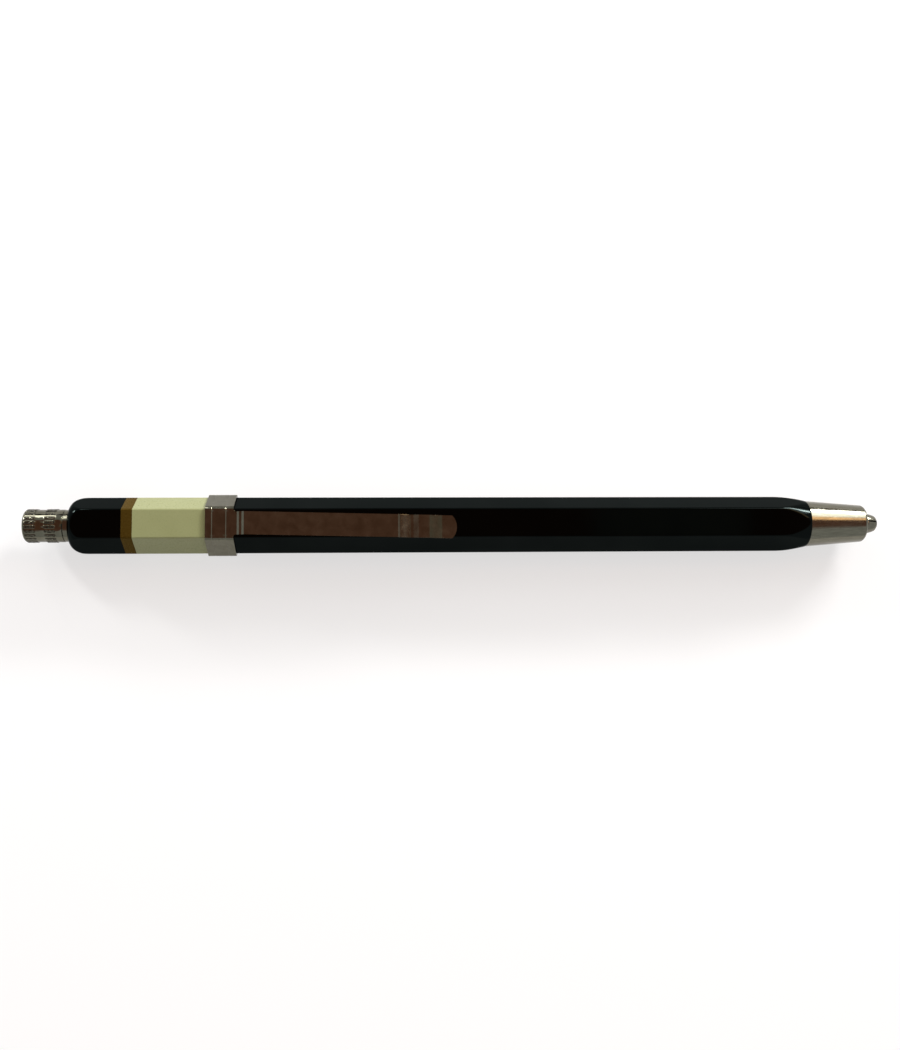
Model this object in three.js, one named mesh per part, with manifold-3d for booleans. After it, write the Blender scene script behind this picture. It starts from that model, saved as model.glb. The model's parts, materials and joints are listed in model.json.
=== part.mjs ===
import * as THREE from 'three';
import { mergeVertices } from 'three/addons/utils/BufferGeometryUtils.js';
import Module from 'manifold-3d';

// A clutch lead holder for a 2 mm lead, lying on one flat of its hexagonal body.
// X runs from the push knob to the tip, Z is up and the pocket clip is on top.
// Every length is in millimetres.

// Fits
const slipGap = 0.05;
const runGap = 0.08;
const cutOverrun = 1;

// Hexagonal body, from the rear
const acrossFlats = 8;
const edgeRounding = 0.6;
const capLength = 8.67;
const capDomeLength = 2.9;
const capMouthRim = 0.12;
const capEndWall = 2.2;
const trimRingLength = 1.75;
const sleeveVisibleLength = 11.5;
const barrelVisibleLength = 94.4;
const barrelTaperLength = 5.4;
const barrelTaperPower = 1.6;
const barrelFrontRadius = 3.87;
const linerWall = 0.3;

// Nose
const noseLength = 9.97;
const noseRearRadius = 3.83;
const noseFrontRadius = 3.06;
const noseEdgeRounding = 0.45;
const noseSpigotLength = 7;
const noseSpigotWall = 0.43;
const noseSeatLength = 2.3;
const noseThroatTaperLength = 1.2;

// Lead and the clutch that grips it
const leadRadius = 1;
const leadLength = 100;
const leadShownLength = 0.35;
const leadPointLength = 0.38;
const leadPointRadius = 0.25;
const gripGap = 0.03;
const jawVisibleLength = 2.17;
const jawHeadRadius = 1.71;
const jawThroatRadius = 1.56;
const jawShankRadius = 1.42;
const jawLipWall = 0.06;
const jawTipLength = 1.6;
const jawTipPower = 0.5;
const jawSlit = 0.24;
const jawLength = 14.91;
const jawGripLength = 6.81;
const hubRadius = 1.95;
const hubLength = 5;
const hubSocketLength = 3;

// Push mechanism
const knobRadius = 2.63;
const knobLength = 6.35;
const knobEndRounding = 0.5;
const knobNeckLength = 1.05;
const knobNeckRadius = 2.1;
const knobThreadLength = 2.6;
const knobBoreRadius = 1.75;
const knobEndWall = 3.3;
const knurlPadHeight = 0.06;
const knurlPadLength = 1.85;
const knurlPadWidth = 0.54;
const knurlFirstStart = 0.37;
const knurlPitch = 3.1;
const pusherVisibleLength = 0.88;
const pusherStep = 0.04;
const pusherWall = 0.26;
const pusherLength = 15.4;
const bushPlugLength = 1.9;
const bushFlangeLength = 1;
const leadTubeWall = 0.3;
const leadTubeGap = 0.2;

// Return spring
const springLength = 18.5;
const springWireRadius = 0.25;
const springEndGap = 0.45;
const springStopLength = 3;

// Lead pointer held in the knob
const pointerSheet = 0.18;
const pointerSleeveWall = 0.35;
const pointerBladeLength = 9;
const bladeRootApexRadius = 1.66;
const bladeTipApexRadius = 2.1;
const bladeRootWing = 1.05;
const bladeTipWing = 0.5;
const bladeOverlap = 0.8;
const bladeSlitStart = 0.5;

// Pocket clip
const bandLength = 4.5;
const bandEdgeRounding = 0.8;
const clipWidth = 3.9;
const clipSheet = 0.38;
const clipTabLength = 0.6;
const clipRootFillet = 0.35;
const clipBendLength = 1.6;
const clipLift = 0.55;
const clipFlatLength = 23.9;
const clipDipLength = 3.1;
const clipContactLength = 1.8;
const clipRiseLength = 2.3;
const clipEndLength = 2.4;
const clipCrestLift = 0.42;
const clipEndSagitta = 0.75;
const clipPivotGap = 0.1;

// Counts and angles
const roundSides = 48;
const arcSteps = 6;
const jawCount = 3;
const jawPhase = THREE.MathUtils.degToRad(20);
const bladeCount = 4;
const bladeHalfAngle = THREE.MathUtils.degToRad(52);
const knurlCount = 22;
const knurlRows = 2;
const springTurns = 11;
const springStepsPerTurn = 8;
const springWireSides = 5;
const clipBendSteps = 8;
const mergeTolerance = 1e-5;

// Stations along X
const capRear = knobLength + pusherVisibleLength;
const trimRear = capRear + capLength;
const sleeveRear = trimRear + trimRingLength;
const bandRear = sleeveRear + sleeveVisibleLength;
const bandFront = bandRear + bandLength;
const sleeveFront = (bandRear + bandFront) / 2;
const barrelFront = bandFront + barrelVisibleLength;
const noseFront = barrelFront + noseLength;
const jawFront = noseFront + jawVisibleLength;
const linerRear = capRear + capEndWall;
const neckFront = knobLength + knobNeckLength;
const threadFront = neckFront + knobThreadLength;
const pusherRear = knobLength + slipGap;
const pusherFront = pusherRear + pusherLength;
const bushRear = pusherFront - bushPlugLength;
const flangeFront = pusherFront + bushFlangeLength;
const springRear = flangeFront + slipGap;
const springFront = springRear + springLength;
const stopRear = springFront + slipGap;
const jawRear = jawFront - jawLength;
const hubFront = jawRear - slipGap;
const hubRear = hubFront - hubLength;
const tubeFront = hubRear + hubSocketLength - slipGap;
const seatRear = noseFront - noseSeatLength;
const leadFront = jawFront + leadShownLength;
const bladeRear = threadFront;
const bladeFront = bladeRear + pointerBladeLength;

// Radii
const pusherRadius = knobRadius - pusherStep;
const pusherBore = pusherRadius - pusherWall;
const capBore = knobRadius + knurlPadHeight + slipGap;
const linerBore = pusherRadius + runGap;
const linerRadius = linerBore + linerWall;
const bodyBore = linerRadius + slipGap;
const leadTubeBore = leadRadius + leadTubeGap;
const leadTubeRadius = leadTubeBore + leadTubeWall;
const spigotRadius = linerBore - slipGap;
const noseBore = spigotRadius - noseSpigotWall;
const jawBore = leadRadius + gripGap;
const mouthRadius = jawHeadRadius + slipGap;
const threadRadius = pusherBore - slipGap;
const springRadius = (leadTubeRadius + linerBore) / 2;
const cornerRadius = acrossFlats / Math.sqrt(3);
const bandFlat = acrossFlats / 2 + slipGap + clipSheet;
const bladeFold = pointerSheet / Math.sin(bladeHalfAngle);

const wasm = await Module();
wasm.setup();

const finishes = {
  blackLacquer: { color: 0x0b0d0d, roughness: 0.18, metalness: 0 },
  goldLacquer: { color: 0x8a6a2a, roughness: 0.4, metalness: 0.3 },
  ivoryLacquer: { color: 0xd9d8ae, roughness: 0.3, metalness: 0 },
  nickel: { color: 0xb9b2a4, roughness: 0.22, metalness: 1 },
  satinNickel: { color: 0xa8a294, roughness: 0.38, metalness: 1 },
  brass: { color: 0xb5985a, roughness: 0.35, metalness: 1 },
  springSteel: { color: 0x8d8d8c, roughness: 0.3, metalness: 1 },
  graphite: { color: 0x2b2b2d, roughness: 0.55, metalness: 0.2 },
};

function corner(geometry, index, target) {
  return target.fromBufferAttribute(geometry.getAttribute('position'), index);
}

// Turns a closed geometry into a solid, with its faces pointing out and no slivers.
function toSolid(geometry) {
  const bare = geometry.clone();
  bare.deleteAttribute('normal');
  bare.deleteAttribute('uv');
  const merged = mergeVertices(bare, mergeTolerance);
  const [a, b, c] = [new THREE.Vector3(), new THREE.Vector3(), new THREE.Vector3()];
  const faces = [];
  let volume = 0;
  for (let i = 0; i < merged.index.count; i += 3) {
    const face = [0, 1, 2].map((k) => merged.index.getX(i + k));
    if (new Set(face).size < 3) continue;
    corner(merged, face[0], a);
    corner(merged, face[1], b);
    corner(merged, face[2], c);
    volume += a.dot(b.cross(c));
    faces.push(face);
  }
  const outward = volume > 0 ? faces : faces.map(([p, q, r]) => [p, r, q]);
  return new wasm.Manifold(new wasm.Mesh({
    numProp: 3,
    vertProperties: Float32Array.from(merged.getAttribute('position').array),
    triVerts: Uint32Array.from(outward.flat()),
  }));
}

function toGeometry(solid) {
  const mesh = solid.getMesh();
  const geometry = new THREE.BufferGeometry();
  geometry.setAttribute('position', new THREE.BufferAttribute(mesh.vertProperties, 3));
  geometry.setIndex(new THREE.BufferAttribute(mesh.triVerts, 1));
  const flat = geometry.toNonIndexed();
  flat.computeVertexNormals();
  return flat;
}

// A body turned about the X axis from a closed outline of [x, radius] points.
function turned(outline) {
  const points = [...outline, outline[0]].map(([x, radius]) => new THREE.Vector2(radius, x));
  return toSolid(new THREE.LatheGeometry(points, roundSides).rotateZ(-Math.PI / 2));
}

function tube(rear, front, radius, bore) {
  return turned([[rear, bore], [rear, radius], [front, radius], [front, bore]]);
}

function rod(rear, front, radius) {
  return turned([[rear, 0], [rear, radius], [front, radius], [front, 0]]);
}

// Points of a quarter ellipse, from a flat end round to the side.
function quarterRound(centreX, centreRadius, reachX, reachRadius) {
  return Array.from({ length: arcSteps + 1 }, (_, i) => {
    const angle = (i / arcSteps) * Math.PI / 2;
    return [centreX + reachX * Math.cos(angle), centreRadius + reachRadius * Math.sin(angle)];
  });
}

// A hexagonal bar along X with two flats level and its long edges rounded.
function hexBar(rear, front, flats, rounding) {
  const shape = new THREE.Shape();
  const centreDistance = (flats / 2 - rounding) / Math.cos(Math.PI / 6);
  for (let i = 0; i < 6; i += 1) {
    const middle = Math.PI / 6 + i * Math.PI / 3;
    const x = centreDistance * Math.cos(middle);
    const y = centreDistance * Math.sin(middle);
    shape.absarc(x, y, rounding, middle - Math.PI / 6, middle + Math.PI / 6, false);
  }
  const bar = new THREE.ExtrudeGeometry(shape, {
    depth: front - rear, bevelEnabled: false, curveSegments: arcSteps,
  });
  return toSolid(bar.rotateY(Math.PI / 2).translate(rear, 0, 0));
}

// A prism that stands on an outline in the YZ plane and runs along X.
function prismAlongX(outline, rear, front) {
  const shape = new THREE.Shape(outline.map(([y, z]) => new THREE.Vector2(-z, y)));
  const prism = new THREE.ExtrudeGeometry(shape, { depth: front - rear, bevelEnabled: false });
  return toSolid(prism.rotateY(Math.PI / 2).translate(rear, 0, 0));
}

// A loft through rings of equal length. Each ring runs anticlockwise in the plane
// that flatten gives, and that plane closes the loft at either end.
function loft(rings, flatten) {
  const count = rings[0].length;
  const positions = rings.flat().flatMap((p) => p.toArray());
  const indices = [];
  for (let r = 0; r + 1 < rings.length; r += 1) {
    for (let i = 0; i < count; i += 1) {
      const [a, b] = [r * count + i, r * count + (i + 1) % count];
      indices.push(a, b, b + count, a, b + count, a + count);
    }
  }
  const last = (rings.length - 1) * count;
  for (const [a, b, c] of THREE.ShapeUtils.triangulateShape(rings[0].map(flatten), [])) {
    indices.push(c, b, a, last + a, last + b, last + c);
  }
  const geometry = new THREE.BufferGeometry();
  geometry.setAttribute('position', new THREE.Float32BufferAttribute(positions, 3));
  geometry.setIndex(indices);
  return geometry;
}

function polar(radius, angle) {
  return [radius * Math.cos(angle), radius * Math.sin(angle)];
}

const model = new THREE.Group();

function addPart(name, finish, solid) {
  const material = new THREE.MeshStandardMaterial(finishes[finish]);
  const mesh = new THREE.Mesh(toGeometry(solid), material);
  mesh.name = name;
  model.add(mesh);
}

// End cap: a hexagon with a domed rear, bored for the knob and for the liner tube.
function endCap() {
  const dome = quarterRound(capRear + capDomeLength, capBore + capMouthRim,
    -capDomeLength, cornerRadius - capBore - capMouthRim);
  const envelope = turned([[capRear, 0], ...dome, [trimRear, cornerRadius], [trimRear, 0]]);
  return hexBar(capRear, trimRear, acrossFlats, edgeRounding)
    .intersect(envelope)
    .subtract(rod(capRear - cutOverrun, linerRear + cutOverrun, capBore))
    .subtract(rod(linerRear, trimRear + cutOverrun, bodyBore));
}

function hexSleeve(rear, front) {
  return hexBar(rear, front, acrossFlats, edgeRounding)
    .subtract(rod(rear - cutOverrun, front + cutOverrun, bodyBore));
}

// Barrel: its front end is turned down in a slow curve to the size of the nose.
function barrel() {
  const drop = cornerRadius - barrelFrontRadius;
  const taper = Array.from({ length: arcSteps + 1 }, (_, i) => {
    const share = i / arcSteps;
    return [barrelFront - barrelTaperLength * (1 - share), cornerRadius - drop * share ** barrelTaperPower];
  });
  const envelope = turned([[sleeveFront, 0], [sleeveFront, cornerRadius], ...taper, [barrelFront, 0]]);
  return hexSleeve(sleeveFront, barrelFront).intersect(envelope);
}

// Nose: a tapered cone on a spigot, with the flared seat that closes the jaws.
function noseCone() {
  const edge = quarterRound(noseFront - noseEdgeRounding, noseFrontRadius - noseEdgeRounding,
    noseEdgeRounding, noseEdgeRounding).reverse();
  return turned([
    [barrelFront - noseSpigotLength, noseBore],
    [barrelFront - noseSpigotLength, spigotRadius],
    [barrelFront, spigotRadius],
    [barrelFront, noseRearRadius],
    ...edge,
    [noseFront, mouthRadius],
    [seatRear, jawThroatRadius + slipGap],
    [seatRear - noseThroatTaperLength, noseBore],
  ]);
}

function colletHub() {
  return turned([
    [hubRear, leadTubeRadius + slipGap],
    [hubRear, hubRadius],
    [hubFront, hubRadius],
    [hubFront, leadTubeBore],
    [hubRear + hubSocketLength, leadTubeBore],
    [hubRear + hubSocketLength, leadTubeRadius + slipGap],
  ]);
}

// One jaw: a third of the split collet, with a slit's half width off either side.
function jaw(index) {
  const lip = jawBore + jawLipWall;
  const point = Array.from({ length: arcSteps + 1 }, (_, i) => {
    const share = 1 - i / arcSteps;
    return [jawFront - jawTipLength * share, lip + (jawHeadRadius - lip) * share ** jawTipPower];
  });
  const ring = turned([
    [jawRear, leadTubeBore],
    [jawRear, jawShankRadius],
    [seatRear - noseThroatTaperLength, jawShankRadius],
    [seatRear, jawThroatRadius],
    [noseFront, jawHeadRadius],
    ...point,
    [jawFront, jawBore],
    [jawFront - jawGripLength, jawBore],
    [jawFront - jawGripLength - leadTubeGap, leadTubeBore],
  ]);
  const middle = jawPhase + index * 2 * Math.PI / jawCount;
  const half = Math.PI / jawCount;
  const reach = 2 * hubRadius;
  const [apexY, apexZ] = polar(jawSlit / 2 / Math.sin(half), middle);
  const sector = [[0, 0], polar(reach, -half), polar(reach, 0), polar(reach, half)].map(([y, z]) => {
    const [turnedY, turnedZ] = [y * Math.cos(middle) - z * Math.sin(middle),
      y * Math.sin(middle) + z * Math.cos(middle)];
    return [apexY + turnedY, apexZ + turnedZ];
  });
  return ring.intersect(prismAlongX(sector, jawRear - cutOverrun, jawFront + cutOverrun));
}

// Knurl pads stand in rows round the knob, each a short raised bar with sloping ends.
function knurlPad(row, index) {
  const rear = knurlFirstStart + row * knurlPitch;
  const angle = index * 2 * Math.PI / knurlCount;
  const [half, sunk, proud] = [knurlPadWidth / 2, knobRadius - knurlPadHeight, knobRadius + knurlPadHeight];
  const level = (inset) => [
    [rear + inset, -half + inset], [rear + knurlPadLength - inset, -half + inset],
    [rear + knurlPadLength - inset, half - inset], [rear + inset, half - inset],
  ];
  const corners = [...level(0).map(([x, y]) => [x, y, sunk]),
    ...level(knurlPadHeight).map(([x, y]) => [x, y, proud])];
  const faces = [
    3, 2, 1, 3, 1, 0, 4, 5, 6, 4, 6, 7, 0, 1, 5, 0, 5, 4,
    1, 2, 6, 1, 6, 5, 2, 3, 7, 2, 7, 6, 3, 0, 4, 3, 4, 7,
  ];
  const geometry = new THREE.BufferGeometry();
  geometry.setAttribute('position', new THREE.Float32BufferAttribute(corners.flat(), 3));
  geometry.setIndex(faces);
  return toSolid(geometry.rotateX(angle));
}

// Knob: a knurled head, a relieved neck and the stub that carries the thread.
function knob() {
  const rounding = quarterRound(knobEndRounding, knobRadius - knobEndRounding,
    -knobEndRounding, knobEndRounding);
  let body = turned([
    [0, 0],
    ...rounding,
    [knobLength, knobRadius],
    [knobLength, knobNeckRadius],
    [neckFront, knobNeckRadius],
    [neckFront, threadRadius],
    [threadFront, threadRadius],
    [threadFront, knobBoreRadius],
    [knobEndWall, knobBoreRadius],
    [knobEndWall, 0],
  ]);
  for (let row = 0; row < knurlRows; row += 1) {
    for (let index = 0; index < knurlCount; index += 1) {
      body = body.add(knurlPad(row, index));
    }
  }
  return body;
}

// One blade of the pointer: a leaf folded along its outer ridge, narrower at the tip.
function pointerBlade(index) {
  const angle = index * 2 * Math.PI / bladeCount;
  const ring = (x, apexRadius, wing) => {
    const [acrossWing, inWing] = [wing * Math.sin(bladeHalfAngle), wing * Math.cos(bladeHalfAngle)];
    const insideWing = apexRadius - inWing - bladeFold;
    return [
      [apexRadius, 0], [apexRadius - inWing, acrossWing], [insideWing, acrossWing],
      [apexRadius - bladeFold, 0], [insideWing, -acrossWing], [apexRadius - inWing, -acrossWing],
    ].map(([radius, across]) => new THREE.Vector3(x, radius, across));
  };
  const leaf = loft([
    ring(bladeRear - bladeOverlap, bladeRootApexRadius, bladeRootWing),
    ring(bladeRear, bladeRootApexRadius, bladeRootWing),
    ring(bladeFront, bladeTipApexRadius, bladeTipWing),
  ], (p) => new THREE.Vector2(p.y, p.z));
  return toSolid(leaf.rotateX(angle));
}

// The blades' leaves run on and meet in a star-shaped tube, up to where the slits start.
function starPrism(apexRadius) {
  const between = Math.PI / bladeCount;
  const valleyRadius = apexRadius * Math.sin(bladeHalfAngle) / Math.sin(bladeHalfAngle + between);
  const outline = Array.from({ length: 2 * bladeCount }, (_, i) => (
    polar(i % 2 ? valleyRadius : apexRadius, i * between)
  ));
  return prismAlongX(outline, bladeRear - bladeOverlap, bladeRear + bladeSlitStart);
}

// Pointer: four folded blades that spring from one sleeve pressed into the knob.
function pointerInsert() {
  const sleeveRadius = knobBoreRadius - slipGap;
  let body = tube(knobEndWall + slipGap, bladeRear - bladeOverlap / 2, sleeveRadius,
    sleeveRadius - pointerSleeveWall);
  const rootTube = starPrism(bladeRootApexRadius)
    .subtract(starPrism(bladeRootApexRadius - bladeFold));
  body = body.add(rootTube);
  for (let index = 0; index < bladeCount; index += 1) {
    body = body.add(pointerBlade(index));
  }
  return body;
}

function reducerBush() {
  const bore = leadTubeRadius + slipGap;
  return turned([
    [bushRear, bore],
    [bushRear, pusherBore - slipGap],
    [pusherFront, pusherBore - slipGap],
    [pusherFront, pusherRadius],
    [flangeFront, pusherRadius],
    [flangeFront, bore],
  ]);
}

// Lead: its front end is worn round and stands a little out of the jaws.
function lead() {
  const point = quarterRound(leadFront - leadPointLength, leadPointRadius,
    leadPointLength, leadRadius - leadPointRadius).reverse();
  return turned([
    [leadFront - leadLength, 0],
    [leadFront - leadLength, leadRadius],
    ...point,
    [leadFront, 0],
  ]);
}

// Spring: one wire wound round the lead tube, with a flatter turn at either end.
function returnSpring() {
  const stepCount = springTurns * springStepsPerTurn;
  const travel = springLength - 2 * springWireRadius;
  const endRise = 2 * springWireRadius + springEndGap;
  const centres = Array.from({ length: stepCount + 1 }, (_, i) => {
    const turn = i / springStepsPerTurn;
    const open = (turn - 1) / (springTurns - 2);
    const rise = turn < 1 ? endRise * turn
      : turn > springTurns - 1 ? travel - endRise * (springTurns - turn)
        : endRise + (travel - 2 * endRise) * open;
    const [y, z] = polar(springRadius, turn * 2 * Math.PI);
    return new THREE.Vector3(springRear + springWireRadius + rise, y, z);
  });
  const rings = centres.map((centre, i) => {
    const outward = new THREE.Vector3(0, centre.y, centre.z).normalize();
    const along = new THREE.Vector3(1, 0, 0);
    return Array.from({ length: springWireSides }, (_, k) => {
      const [a, b] = polar(springWireRadius, (k + 0.5) * 2 * Math.PI / springWireSides);
      return centre.clone().addScaledVector(along, a).addScaledVector(outward, b);
    });
  });
  let least = Infinity;
  for (let i = 0; i < stepCount - springStepsPerTurn; i += 1) {
    least = Math.min(least, centres[i].distanceTo(centres[i + springStepsPerTurn]));
  }
  console.log(`least gap between spring turns ${(least - 2 * springWireRadius).toFixed(2)} mm`);
  return toSolid(loft(rings, (p) => new THREE.Vector2(p.x, p.y)));
}

function springStop() {
  return tube(stopRear, stopRear + springStopLength, spigotRadius, leadTubeRadius + runGap);
}

// Clip band: a hexagonal ring whose top flat runs on into a filleted tab.
function clipBand() {
  const innerFlats = acrossFlats + 2 * slipGap;
  const ring = hexBar(bandRear, bandFront, 2 * bandFlat, bandEdgeRounding)
    .subtract(hexBar(bandRear - cutOverrun, bandFront + cutOverrun, innerFlats, edgeRounding));
  const half = clipWidth / 2;
  const [filletX, filletY] = [bandFront + clipRootFillet, half + clipRootFillet];
  const plan = new THREE.Shape();
  plan.moveTo(bandRear, -half);
  plan.lineTo(bandFront, -filletY);
  plan.absarc(filletX, -filletY, clipRootFillet, Math.PI, Math.PI / 2, true);
  plan.lineTo(bandFront + clipTabLength, -half);
  plan.lineTo(bandFront + clipTabLength, half);
  plan.absarc(filletX, filletY, clipRootFillet, -Math.PI / 2, -Math.PI, true);
  plan.lineTo(bandRear, half);
  const tab = new THREE.ExtrudeGeometry(plan, {
    depth: clipSheet, bevelEnabled: false, curveSegments: arcSteps,
  });
  return ring.add(toSolid(tab.translate(0, 0, bandFlat - clipSheet)));
}

// Clip arm: a strip bent up from the tab, level over the barrel, dipped to the
// barrel near its end and turned up again at a rounded tip.
function clipArm() {
  const rootX = bandFront + clipTabLength + clipPivotGap;
  const rootZ = acrossFlats / 2 + slipGap + clipSheet / 2;
  const levelZ = acrossFlats / 2 + clipLift + clipSheet / 2;
  const dipZ = rootZ;
  const crestZ = dipZ + clipCrestLift;
  const levelX = rootX + clipBendLength;
  const dropX = levelX + clipFlatLength;
  const dipX = dropX + clipDipLength;
  const liftX = dipX + clipContactLength;
  const crestX = liftX + clipRiseLength;
  const endX = crestX + clipEndLength;
  const ease = (share) => (1 - Math.cos(Math.PI * share)) / 2;
  const spans = [
    [rootX, rootZ, levelX, levelZ, clipBendSteps],
    [levelX, levelZ, dropX, levelZ, 1],
    [dropX, levelZ, dipX, dipZ, clipBendSteps],
    [dipX, dipZ, liftX, dipZ, 1],
    [liftX, dipZ, crestX, crestZ, clipBendSteps],
    [crestX, crestZ, endX, crestZ, 1],
  ];
  const centres = [new THREE.Vector2(rootX, rootZ)];
  for (const [x0, z0, x1, z1, steps] of spans) {
    for (let i = 1; i <= steps; i += 1) {
      const share = i / steps;
      centres.push(new THREE.Vector2(x0 + (x1 - x0) * share, z0 + (z1 - z0) * ease(share)));
    }
  }
  const normals = centres.map((_, i) => {
    const before = centres[Math.max(i - 1, 0)];
    const after = centres[Math.min(i + 1, centres.length - 1)];
    const along = after.clone().sub(before).normalize();
    return new THREE.Vector2(-along.y, along.x);
  });
  const side = (sign) => centres.map((c, i) => c.clone().addScaledVector(normals[i], sign * clipSheet / 2));
  const profile = new THREE.Shape([...side(-1), ...side(1).reverse()]);
  const strip = new THREE.ExtrudeGeometry(profile, { depth: clipWidth, bevelEnabled: false });
  const arm = toSolid(strip.rotateX(Math.PI / 2).translate(0, clipWidth / 2, 0));
  const half = clipWidth / 2;
  const endRadius = (half ** 2 + clipEndSagitta ** 2) / (2 * clipEndSagitta);
  const sweep = Math.asin(half / endRadius);
  const plan = new THREE.Shape();
  plan.moveTo(rootX - cutOverrun, half);
  plan.lineTo(rootX - cutOverrun, -half);
  plan.absarc(endX - endRadius, 0, endRadius, -sweep, sweep, false);
  const outline = new THREE.ExtrudeGeometry(plan, {
    depth: 2 * acrossFlats, bevelEnabled: false, curveSegments: 2 * arcSteps,
  });
  return arm.intersect(toSolid(outline));
}

addPart('end_cap', 'blackLacquer', endCap());
addPart('trim_ring', 'goldLacquer', hexSleeve(trimRear, sleeveRear));
addPart('ivory_sleeve', 'ivoryLacquer', hexSleeve(sleeveRear, sleeveFront));
addPart('barrel', 'blackLacquer', barrel());
addPart('liner_tube', 'brass', tube(linerRear + slipGap, barrelFront - slipGap, linerRadius, linerBore));
addPart('nose_cone', 'satinNickel', noseCone());
addPart('clip_band', 'nickel', clipBand());
addPart('clip_arm', 'nickel', clipArm());
addPart('knob', 'nickel', knob());
addPart('pointer_insert', 'nickel', pointerInsert());
addPart('pusher_tube', 'nickel', tube(pusherRear, pusherFront, pusherRadius, pusherBore));
addPart('reducer_bush', 'brass', reducerBush());
addPart('lead_tube', 'brass', tube(bushRear + slipGap, tubeFront, leadTubeRadius, leadTubeBore));
addPart('return_spring', 'springSteel', returnSpring());
addPart('spring_stop', 'brass', springStop());
addPart('collet_hub', 'brass', colletHub());
for (let index = 0; index < jawCount; index += 1) {
  addPart(`jaw_${index + 1}`, 'satinNickel', jaw(index));
}
addPart('lead', 'graphite', lead());

// The origin lies midway along the holder, on the surface that the clip band rests on.
model.position.set(-leadFront / 2, 0, bandFlat);

const holder = new THREE.Group();
holder.add(model);

export default holder;
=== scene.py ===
"""The looks of a clutch lead holder that lies on a pale studio floor."""

import json
import math

import bmesh
import bpy
import numpy as np
from mathutils import Matrix, Vector, noise

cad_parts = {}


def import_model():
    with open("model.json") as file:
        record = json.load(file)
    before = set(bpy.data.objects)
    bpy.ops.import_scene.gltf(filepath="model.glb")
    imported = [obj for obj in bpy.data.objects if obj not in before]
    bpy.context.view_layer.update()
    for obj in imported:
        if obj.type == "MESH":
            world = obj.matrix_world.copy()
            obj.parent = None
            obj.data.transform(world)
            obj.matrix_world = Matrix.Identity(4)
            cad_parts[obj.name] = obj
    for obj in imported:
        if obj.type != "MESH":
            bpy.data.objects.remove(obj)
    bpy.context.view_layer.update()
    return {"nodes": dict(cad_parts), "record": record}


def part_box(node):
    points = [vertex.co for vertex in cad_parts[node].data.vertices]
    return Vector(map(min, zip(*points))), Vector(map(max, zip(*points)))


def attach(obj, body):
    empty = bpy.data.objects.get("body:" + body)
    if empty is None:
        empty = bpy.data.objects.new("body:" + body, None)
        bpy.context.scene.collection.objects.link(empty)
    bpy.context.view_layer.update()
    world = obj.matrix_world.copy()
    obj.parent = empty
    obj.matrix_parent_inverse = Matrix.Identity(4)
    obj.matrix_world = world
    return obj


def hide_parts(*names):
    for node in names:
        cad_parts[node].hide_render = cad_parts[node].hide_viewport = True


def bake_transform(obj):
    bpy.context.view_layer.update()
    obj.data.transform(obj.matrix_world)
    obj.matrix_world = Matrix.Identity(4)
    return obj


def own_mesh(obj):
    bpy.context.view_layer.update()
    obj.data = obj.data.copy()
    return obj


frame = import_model()

mm = 0.001

# The camera of the photograph
CAMERA_PLACE = (-13.25 * mm, -15.67 * mm, 183.8 * mm)
CAMERA_PITCH = math.radians(-4.971)
CAMERA_YAW = math.radians(3.636)
CAMERA_ROLL = math.radians(0.485)
CAMERA_LENS = 43.75
SENSOR_WIDTH = 36

# Body
CORNER_ROUNDING = 0.35 * mm
SECTION_EDGE = 0.05 * mm
CAP_DOME = 2.9 * mm
CAP_RIM = 0.12 * mm
CAP_MOUTH_EDGE = 0.08 * mm
TAPER_LENGTH = 5.4 * mm
TAPER_POWER = 1.6
TAPER_FRONT_RADIUS = 3.87 * mm
TAPER_BLEND = 0.14 * mm
BODY_BORE = 3.02 * mm
CAP_BORE = 2.74 * mm
CORNER_STEPS = 10
FLAT_STEPS = 22
DOME_STEPS = 44
TAPER_STEPS = 60
EDGE_PROFILE = ((0, 1), (0.12, 0.5), (0.5, 0.12), (1, 0))

# Nose and jaws
NOSE_REAR_RADIUS = 3.83 * mm
NOSE_FRONT_RADIUS = 3.06 * mm
NOSE_EDGE = 0.5 * mm
NOSE_MOUTH_RADIUS = 1.76 * mm
NOSE_SPIGOT_RADIUS = 2.62 * mm
NOSE_BORE = 2.19 * mm
NOSE_SEAT = 2.3 * mm
NOSE_SEAT_RADIUS = 1.61 * mm
NOSE_SEAT_TAPER = 1.2 * mm
NOSE_SPIGOT = 7 * mm
NOSE_SHOULDER_EDGE = 0.06 * mm
NOSE_MOUTH_EDGE = 0.08 * mm
JAW_HEAD_RADIUS = 1.71 * mm
JAW_THROAT_RADIUS = 1.56 * mm
JAW_SHANK_RADIUS = 1.42 * mm
JAW_BORE = 1.03 * mm
JAW_TUBE_BORE = 1.2 * mm
JAW_GRIP = 6.81 * mm
JAW_GRIP_FLARE = 0.2 * mm
JAW_TIP = 1.6 * mm
JAW_TIP_POWER = 0.5
JAW_LIP = 0.06 * mm
JAW_SLIT = 0.24 * mm
JAW_SHOWN = 2.17 * mm
JAW_PHASE = math.radians(20)
JAW_COUNT = 3
JAW_EDGE = 0.03 * mm
JAW_LEAST_WALL = 0.01 * mm
JAW_SIDES = 28
JAW_TIP_STEPS = 24
JAW_TIP_SPACING = 1.6
LEAD_RADIUS = 1 * mm
LEAD_POINT = 0.38 * mm
LEAD_POINT_RADIUS = 0.25 * mm
LEAD_END_EDGE = 0.05 * mm

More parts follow.
